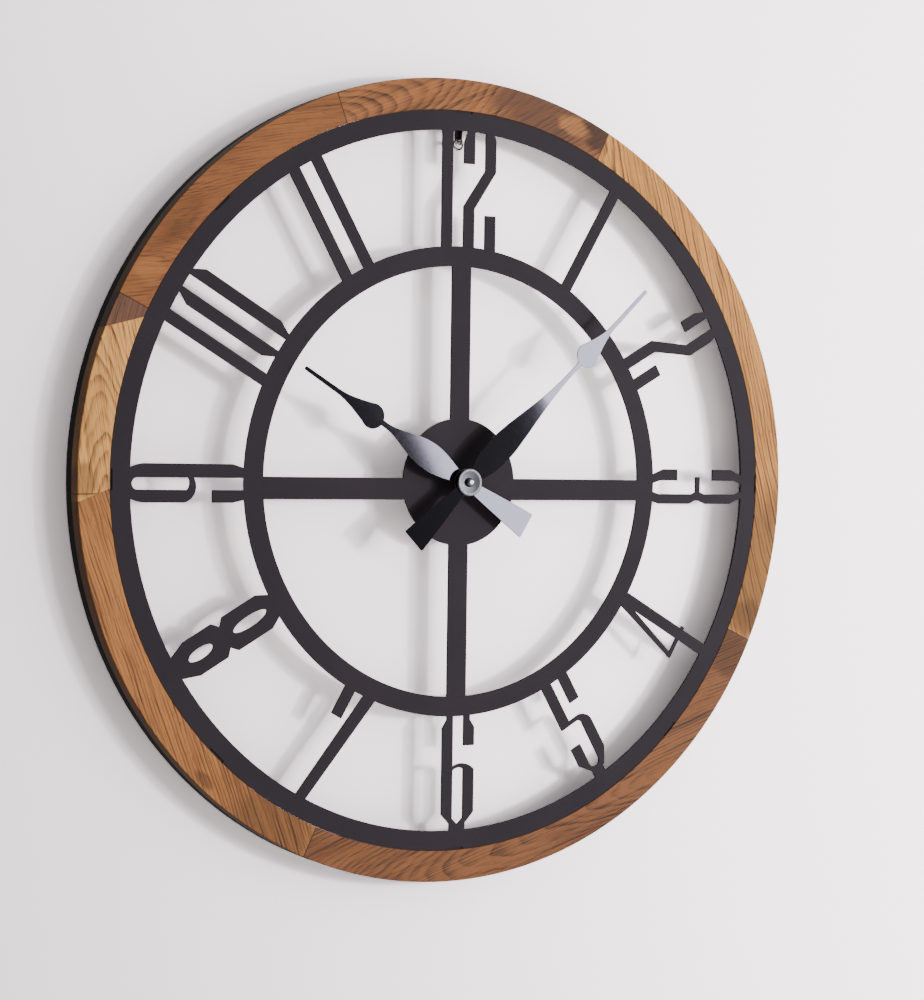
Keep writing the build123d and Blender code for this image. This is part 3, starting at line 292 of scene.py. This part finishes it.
def felt():
    """Short dark fuzz."""
    s = Shader("black_felt")
    fuzz = s.noise(s.place, 2200.0, 4.0, 0.7)
    s.set(Base_Color=s.mix(fuzz, rgb(18, 18, 18), rgb(48, 46, 46)), Roughness=0.95)
    return s.bump(fuzz, 0.0003).material


def winding():
    """Fine copper wire in even turns."""
    s = Shader("enamelled_copper")
    turn = s.math("SINE", s.math("MULTIPLY", s.dot(s.place, (1, 0, 0)), 2 * math.pi / WIRE))
    colour = s.mix(s.range(turn, -1, 1), rgb(120, 58, 26), rgb(196, 108, 60))
    s.set(Base_Color=colour, Metallic=0.8, Roughness=0.35)
    return s.bump(turn, 0.00005).material


def board():
    """Green circuit board with slanting tracks."""
    s = Shader("green_board")
    fine = s.noise(s.place, 700.0)
    slant = s.math("MULTIPLY", s.dot(s.place, (0.7, 0, 0.7)), 420.0)
    track = s.math("GREATER_THAN", s.math("FRACT", slant), 0.72)
    colour = s.mix(track, rgb(14, 84, 42), rgb(30, 112, 60))
    s.set(Base_Color=colour, Roughness=s.range(fine, 0.3, 0.7, 0.3, 0.42))
    return s.bump(track, 0.00003).material


POWDER = painted("charcoal_powder_coat", rgb(45, 38, 44), 0.6, 1400.0, 0.00004, 1.22)
ENAMEL = painted("gloss_black_enamel", rgb(5, 4, 6), 0.05, 300.0, 0.0, 1.72)
ENAMEL.node_tree.nodes["Principled BSDF"].inputs["Specular Tint"].default_value = (0.87, 0.82, 1.0, 1)
SILVER = metal("satin_silver", rgb(104, 104, 110), 0.42, 0.00001)
NICKEL = metal("bright_nickel", rgb(205, 203, 200), 0.16)
ZINC = metal("zinc_plate", rgb(165, 166, 168), 0.3)
BRASS = metal("turned_brass", rgb(196, 158, 82), 0.25)
IRON = metal("stamped_iron", rgb(120, 118, 116), 0.4)
CASE = painted("black_moulded_plastic", rgb(26, 26, 28), 0.45, 1800.0, 0.00004)
RUBBER = painted("black_rubber", rgb(20, 20, 21), 0.75, 900.0, 0.00005)
WHITE = painted("white_acetal", rgb(226, 224, 216), 0.32, 500.0, 0.00001)

# Finish by the start of the piece's name; the longest match counts, and the rest is WHITE.
FINISH = {
    "dial_": POWDER, "numeral_": POWDER, "hanger_strap": POWDER, "dial_gasket": RUBBER,
    "rear_ring": plywood_black(), "wall_pads": felt(), "rim_screws": ZINC, "tab_screws": ZINC,
    "hanging_ring": NICKEL, "front_case": CASE, "rear_cover": CASE, "setting_knob": CASE,
    "lock_washer": BRASS, "hex_nut": BRASS, "battery": battery_jacket(), "contact_": NICKEL,
    "stator_plate": IRON, "coil_core": IRON, "coil_bobbin": WHITE, "coil_winding": winding(),
    "circuit_board": board(), "quartz_crystal": NICKEL, "rotor": WHITE, "minute_arbor": WHITE,
    "hour_hand": ENAMEL, "minute_hand": ENAMEL, "hour_boss": ENAMEL, "minute_boss": SILVER,
    "cap_nut": metal("dark_chrome", rgb(120, 120, 126), 0.13),
}


def finish_of(node):
    if node in RIM:
        return RIM[node]
    matches = [key for key in FINISH if node.startswith(key)]
    return FINISH[max(matches, key=len)] if matches else WHITE


for name, piece in NODES.items():
    piece.data.materials.clear()
    piece.data.materials.append(finish_of(name))

# ---------------------------------------------------------------- hands
# All in mm, measured along the hand from its axis; the tail is negative.
THICK = 0.8
BEVEL = 0.22
TAIL_END, TAIL_CORNER, TAIL_CORNER_RADIUS = -73.5, -72, 1.5
TAIL_ROOT, TAIL_FLARE = 3.4, 8.5  # half width at the axis, and what the tail gains by its corner
COLLAR, BULB = 10, 11  # radii
BLADE_HALF = 12.4
NEEDLE, NEEDLE_TAPER = 2.5, 0.8
TIP_RADIUS = 1.8
# A cross row every 1.2 mm, closer where the outline turns: (distance from a turn, step).
FINE_ROWS = [(1.2, 0.12), (6, 0.5), (math.inf, 1.2)]


def leaf(shape, s):
    """Half the width of the pointed blade: `stem` at its ends; `slim` sets how thinly it runs out."""
    start, end, stem, b = shape["start"], shape["neck"], shape["stem"], shape["slim"]
    peak = (shape["widest"] - start) / (end - start)
    t = (s - start) / (end - start)
    if t <= 0 or t >= 1:
        return stem
    a = b * peak / (1 - peak)
    return stem + (BLADE_HALF - stem) * (t / peak) ** a * ((1 - t) / (1 - peak)) ** b


def round_half(radius, s):
    """Half the width of a disc at s from its middle."""
    return math.sqrt(max(0, radius**2 - s**2))


def half_width(shape, s):
    """Half the hand's width at s mm from its axis, towards its point."""
    collar = round_half(COLLAR, s)
    if s < 0:
        corner = round_half(1, max(0, (TAIL_CORNER - s) / TAIL_CORNER_RADIUS))
        flare = TAIL_ROOT + TAIL_FLARE * (s / TAIL_CORNER) ** 0.85
        return max(flare * (0.86 + 0.14 * corner), collar)
    bulb, tip = shape["bulb"], shape["length"]
    blade = needle = 0
    if s < bulb:
        blade = leaf(shape, s)
    else:
        needle = NEEDLE - NEEDLE_TAPER * (s - bulb) / (tip - bulb)
    drop = needle
    run = (s - bulb) / (shape["drop"] - bulb)
    if 0 < run < 1:
        drop += (BULB - needle) * (1 - run) ** 2.1 * (1 + 0.8 * run)
    width = max(blade, round_half(BULB, s - bulb), drop, collar)
    return min(width, round_half(TIP_RADIUS, s - tip + TIP_RADIUS)) if s > tip - TIP_RADIUS else width


# The blade runs from `start` over `widest` to `neck`. `bulb` is the disc's middle, `drop` its taper's end.
HOUR = {"angle": 301.4, "length": 182, "start": -10, "widest": 42, "neck": 92, "bulb": 107, "drop": 146,
        "stem": 2.4, "slim": 2.2}
MINUTE = {"angle": 46.0, "length": 251, "start": 0, "widest": 40, "neck": 152, "bulb": 164, "drop": 202,
          "stem": 2.0, "slim": 2.8}


def thing_of(name, verts, faces, material, smooth=None):
    """An object in the scene; `smooth` says of each face's number whether it is shaded smooth."""
    mesh = bpy.data.meshes.new(name)
    mesh.from_pydata(verts, [], faces)
    mesh.materials.append(material)
    for index, polygon in enumerate(mesh.polygons):
        polygon.use_smooth = bool(smooth and smooth(index))
    thing = bpy.data.objects.new(name, mesh)
    bpy.context.collection.objects.link(thing)
    return thing


def stand_in(thing, body, node):
    """Let `thing` move with a body and be seen in a CAD node's place."""
    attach(thing, body)
    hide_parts(node)


def stations_of(shape):
    """Where the cross rows lie along the hand."""
    stations = []
    s = TAIL_END + 0.1
    while s < shape["length"] - 0.02:
        stations.append(s)
        near = min(abs(s - shape["length"]), abs(s - TAIL_END), abs(abs(s - shape["bulb"]) - BULB),
                   abs(abs(s) - COLLAR))
        s += next(step for reach, step in FINE_ROWS if near < reach)
    return stations + [shape["length"] - 0.01]


def make_hand(name, shape, node, body, rise):
    """A sheet hand as one grid of cross rows: flat face, rounded edges, flat back, gently bowed by `rise`."""
    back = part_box(node)[1].y
    out, along = clockwise(shape["angle"])
    stations = stations_of(shape)
    verts, faces = [], []
    for s in stations:
        w = max(half_width(shape, s), 0.05)
        inset = min(BEVEL, 0.5 * w)
        left = [(-w, 0.0), (-w, THICK * 0.62), (-w + inset * 0.35, THICK * 0.9), (-w + inset, THICK),
                (-w + inset * 1.3, THICK)]
        for x, t in left + [(-x, t) for x, t in reversed(left)]:
            p = HUB + out * s * MM + along * x * MM
            verts.append((p.x, back - (t + rise(s)) * MM, p.z))
    n = 2 * len(left)
    sides = (len(stations) - 1) * n
    for i in range(0, sides, n):
        for j in range(n):
            a, b = i + j, i + (j + 1) % n
            faces.append((a, b, b + n, a + n))
    faces.append(tuple(reversed(range(n))))
    faces.append(tuple(range(sides, sides + n)))
    # The upright sides, the back and the two ends stay flat.
    hand = thing_of(name, verts, faces, ENAMEL, lambda k: 0 < k % n < n - 2 and k < sides)
    hand.data.validate()
    stand_in(hand, body, node)


make_hand("hour_hand_blade", HOUR, "hour_hand", "hour", lambda s: 0.0)

MINUTE_TAIL_SLOPE = 0.03
MINUTE_SLOPES = [(0, 0.03), (60, 0.042), (104, 0.042), (120, 0.0), (252, -0.009)]  # (mm from the axis, slope)


def minute_rise(s):
    """Height above the flat: rising at about 2 degrees from the tail, then level and dipping to the point."""
    height = min(MINUTE_TAIL_SLOPE * s, 0)
    for (s0, a0), (s1, a1) in zip(MINUTE_SLOPES, MINUTE_SLOPES[1:]):
        span = min(max(s - s0, 0), s1 - s0)
        height += span * (a0 + (a1 - a0) * span / (s1 - s0) / 2)
    return height


make_hand("minute_hand_blade", MINUTE, "minute_hand", "minute", minute_rise)


def lathe(name, centre, profile, material, turns=96):
    """A turned piece about +Y through `centre`, from (radius, height towards the viewer) pairs in mm."""
    circle = [(math.cos(2 * math.pi * k / turns), math.sin(2 * math.pi * k / turns)) for k in range(turns)]
    x, y, z = centre
    verts = [(x + r * MM * c, y - h * MM, z + r * MM * s) for r, h in profile for c, s in circle]
    faces = [(i + k, i + (k + 1) % turns, i + turns + (k + 1) % turns, i + turns + k)
             for i in range(0, (len(profile) - 1) * turns, turns) for k in range(turns)]
    return thing_of(name, verts, faces, material, lambda k: True)


# Bored, with a shallow cone towards its raised lip.
DISH = [(3.9, 0.0), (3.9, 0.75), (4.4, 0.8), (4.7, 0.82), (9.0, 1.86), (9.4, 1.94), (9.7, 2.0), (11.2, 2.0),
        (11.5, 1.95), (11.9, 1.65), (12.0, 1.3), (12.0, 0.05), (11.95, 0.0), (3.9, 0.0)]
boss_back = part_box("minute_boss")[1].y
boss = lathe("minute_boss_dish", (HUB.x, boss_back, HUB.z), DISH, SILVER)
stand_in(boss, "minute", "minute_boss")


# ---------------------------------------------------------------- stage
FLOOR_Z, WALL_TOP = -1.5, 3


def wall_paint():
    """White wall with painted light: brighter to the right and a little upwards, and see-through from behind.
    """
    s = Shader("wall_paint")
    fine = s.noise(s.place, 180.0, 4.0, 0.6)
    # Painted light: the wall's colour grows brighter towards the right and a little upwards, where the lamps
    # stand.
    bright = s.range(s.dot(s.place, (1, 0, 0.25)), -0.75, 0.45)
    # Colours above 1 keep the wall near white under the view transform; it lights nothing else.
    s.set(Base_Color=s.mix(bright, (1.75, 1.6, 1.65, 1), (3.2, 2.94, 3.02, 1)), Roughness=0.9)
    s.bump(fine, 0.0002, 0.4)
    back = s.node("ShaderNodeNewGeometry", "Backfacing")
    clear = s.node("ShaderNodeBsdfTransparent")
    mixed = s.node("ShaderNodeMixShader", 0, (back, s.surface.outputs[0], clear))
    s.put(s.tree.nodes["Material Output"].inputs["Surface"], mixed)
    return s.material


wall_corners = [(-4, 0, FLOOR_Z), (4, 0, FLOOR_Z), (4, 0, WALL_TOP), (-4, 0, WALL_TOP)]
wall = thing_of("wall", wall_corners, [(0, 1, 2, 3)], wall_paint())
wall.visible_diffuse = wall.visible_glossy = wall.visible_transmission = wall.visible_shadow = False
floor_paint = painted("pale_floor", rgb(222, 220, 218), 0.7, 60.0, 0.0001, mottle=1.02)
floor_corners = [(-5, -6, FLOOR_Z), (5, -6, FLOOR_Z), (5, 4, FLOOR_Z), (-5, 4, FLOOR_Z)]
floor = thing_of("floor", floor_corners, [(0, 1, 2, 3)], floor_paint)
# The nail that carries the clock: a shank from the wall with a low domed head.
NAIL = [(1.5, 0), (1.5, 20.2), (2.9, 20.4), (3.0, 21.0), (2.2, 22.0), (0.01, 22.4)]
nail = lathe("nail", (0, 0, 0), NAIL, NICKEL)


def softbox(name, azimuth, elevation, distance, size, radiance, colour):
    """A light that faces the hub; its azimuth in degrees runs to the right of the wall's normal."""
    a, e = math.radians(azimuth), math.radians(elevation)
    place = HUB + distance * Vector((math.sin(a) * math.cos(e), -math.cos(a) * math.cos(e), math.sin(e)))
    data = bpy.data.lights.new(name, "AREA")
    data.shape, data.size, data.size_y = "RECTANGLE", size[0], size[1]
    data.energy, data.color = radiance * math.pi * size[0] * size[1], colour
    lamp = bpy.data.objects.new(name, data)
    lamp.location = place
    lamp.rotation_euler = (HUB - place).to_track_quat("-Z", "Y").to_euler()
    bpy.context.collection.objects.link(lamp)
    return lamp


# The key leans left, so that its near edge mirrors in the hour hand and misses the minute hand's root.
KEY_LEAN = 25.0
key = softbox("key", 32.95, 4, 5.0, (0.963, 1.94), 15, (0.93, 0.945, 1.0))
key.rotation_euler.rotate_axis("Z", math.radians(KEY_LEAN))
softbox("lamp", 42, 2, 4.0, (0.32, 0.4), 150, (1.0, 0.985, 0.97))
softbox("window", 58, 14, 3.0, (1.3, 1.5), 2.8, (1, 1, 1))

# The room: dark straight ahead of the clock, brighter to the right.
ROOM_STRENGTH = 0.6
world = bpy.data.worlds.new("studio")
bpy.context.scene.world = world
world.use_nodes = True
sky = world.node_tree
background = sky.nodes["Background"]
background.inputs[0].default_value = (1.0, 0.985, 0.985, 1)
direction = sky.nodes.new("ShaderNodeTexCoord").outputs["Generated"]


def sky_node(kind, out, *values, operation=None):
    n = sky.nodes.new(kind)
    if operation:
        n.operation = operation
    for socket, value in zip(n.inputs, values):
        if isinstance(value, NodeSocket):
            sky.links.new(value, socket)
        else:
            socket.default_value = value
    return n.outputs[out]


ahead = sky_node("ShaderNodeVectorMath", "Value", direction, (0, -1, 0), operation="DOT_PRODUCT")
rightward = sky_node("ShaderNodeVectorMath", "Value", direction, (1, 0, 0), operation="DOT_PRODUCT")
dark_room = sky_node("ShaderNodeMapRange", 0, ahead, 0.75, 0.93, 1.0, 0.03)
brighter = sky_node("ShaderNodeMapRange", 0, rightward, -1.0, 1.0, 0.15, 2.0)
room = sky_node("ShaderNodeMath", 0, dark_room, brighter, operation="MULTIPLY")
room = sky_node("ShaderNodeMath", 0, room, ROOM_STRENGTH, operation="MULTIPLY")
sky.links.new(room, background.inputs[1])

# ---------------------------------------------------------------- camera
CAMERA_FROM_DIAL = Vector((-1006.5, -1759.1, 19.3)) * MM  # from the middle of the dial's front face
TURN = Vector((-1.793, -0.335, -31.036))  # rotation vector in degrees, in the camera's own axes
SENSOR, LENS = 36, 83.5056  # mm
SHIFT_X, SHIFT_Y = -0.0482, 0.0262

camera_data = bpy.data.cameras.new("camera")
camera = bpy.data.objects.new("camera", camera_data)
bpy.context.collection.objects.link(camera)
bpy.context.scene.camera = camera
turn = Matrix.Rotation(math.radians(TURN.length), 3, TURN.normalized())
axes = Matrix(((1, 0, 0), (0, 0, -1), (0, 1, 0))) @ turn.transposed()
right, down, forward = axes[0], axes[1], axes[2]
pose = Matrix((right, -down, -forward)).transposed().to_4x4()
pose.translation = Vector((HUB.x, DIAL_FRONT, HUB.z)) + CAMERA_FROM_DIAL
camera.matrix_world = pose
camera_data.sensor_width, camera_data.lens = SENSOR, LENS
camera_data.shift_x, camera_data.shift_y = SHIFT_X, SHIFT_Y
camera_data.clip_start, camera_data.clip_end = 0.05, 50
